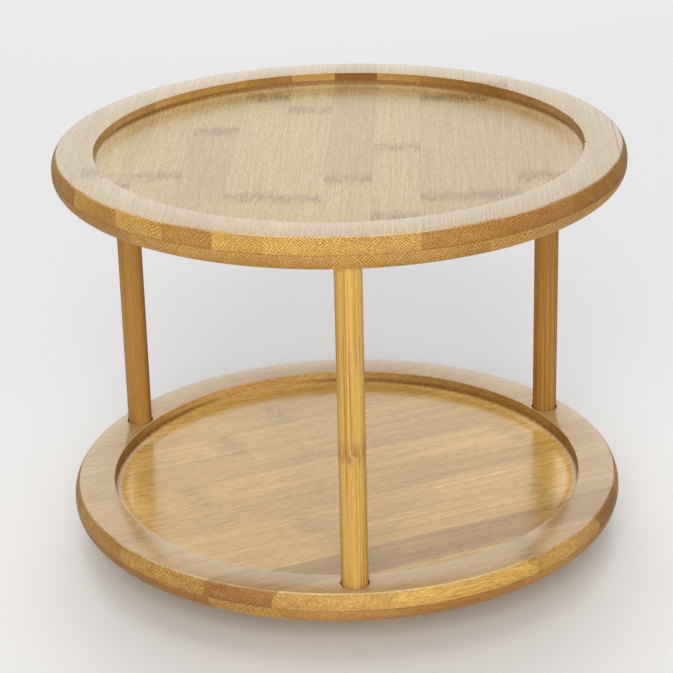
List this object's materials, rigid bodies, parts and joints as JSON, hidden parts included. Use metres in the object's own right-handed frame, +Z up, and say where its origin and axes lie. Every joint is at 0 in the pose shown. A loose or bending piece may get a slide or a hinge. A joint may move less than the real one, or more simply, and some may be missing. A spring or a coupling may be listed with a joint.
{
  "type": "lazy susan turntable",
  "caption": "Two-tier round bamboo turntable: recessed trays with rounded edges joined by dowel posts, spinning on a ball-bearing swivel over a footed base disc.",
  "frame": {"origin": "on the surface the turntable stands on, on the spin axis", "axes": "+Z up along the spin axis; -Y towards the front post; +X to the right seen from the front"},
  "size_m": [0.254, 0.254, 0.1934],
  "materials": {
    "upper_tray_bamboo": "pale sanded bamboo top, amber lacquered edge",
    "lower_tray_bamboo": "clear satin lacquer on laminated bamboo",
    "dowel_bamboo": "clear satin lacquer on a bamboo dowel",
    "base_bamboo": "clear satin lacquer on laminated bamboo",
    "plate_steel": "zinc-plated pressed steel",
    "fastener_steel": "zinc-plated steel",
    "ball_steel": "polished bearing steel",
    "cage_plastic": "natural nylon",
    "foot_rubber": "matt moulded rubber"
  },
  "bodies": {
    "base": {"base_disc": "base_bamboo", "foot_1": "foot_rubber", "foot_2": "foot_rubber", "foot_3": "foot_rubber", "foot_4": "foot_rubber", "bearing_lower_plate": "plate_steel", "centre_rivet": "fastener_steel", "base_screw_1": "fastener_steel", "base_screw_2": "fastener_steel", "base_screw_3": "fastener_steel", "base_screw_4": "fastener_steel"},
    "ball_ring": {"ball_cage": "cage_plastic", "ball_1": "ball_steel", "ball_2": "ball_steel", "ball_3": "ball_steel", "ball_4": "ball_steel", "ball_5": "ball_steel", "ball_6": "ball_steel", "ball_7": "ball_steel", "ball_8": "ball_steel", "ball_9": "ball_steel", "ball_10": "ball_steel", "ball_11": "ball_steel", "ball_12": "ball_steel"},
    "carousel": {"lower_tray_bottom_ply": "lower_tray_bamboo", "lower_tray_top_ply": "lower_tray_bamboo", "upper_tray_bottom_ply": "upper_tray_bamboo", "upper_tray_top_ply": "upper_tray_bamboo", "post_front": "dowel_bamboo", "post_right": "dowel_bamboo", "post_left": "dowel_bamboo", "post_screw_front": "fastener_steel", "post_screw_right": "fastener_steel", "post_screw_left": "fastener_steel", "bearing_upper_plate": "plate_steel", "tray_screw_1": "fastener_steel", "tray_screw_2": "fastener_steel", "tray_screw_3": "fastener_steel", "tray_screw_4": "fastener_steel"}
  },
  "joints": [
    {"name": "tray_spin", "type": "hinge", "parent": "base", "child": "carousel", "pos_m": [0, 0, 0.0145], "axis": [0, 0, 1], "continuous": true},
    {"name": "cage_spin", "type": "hinge", "parent": "base", "child": "ball_ring", "pos_m": [0, 0, 0.0145], "axis": [0, 0, 1], "continuous": true}
  ],
  "couplings": [
    {"joint": "cage_spin", "follows": "tray_spin", "ratio": 0.5}
  ]
}
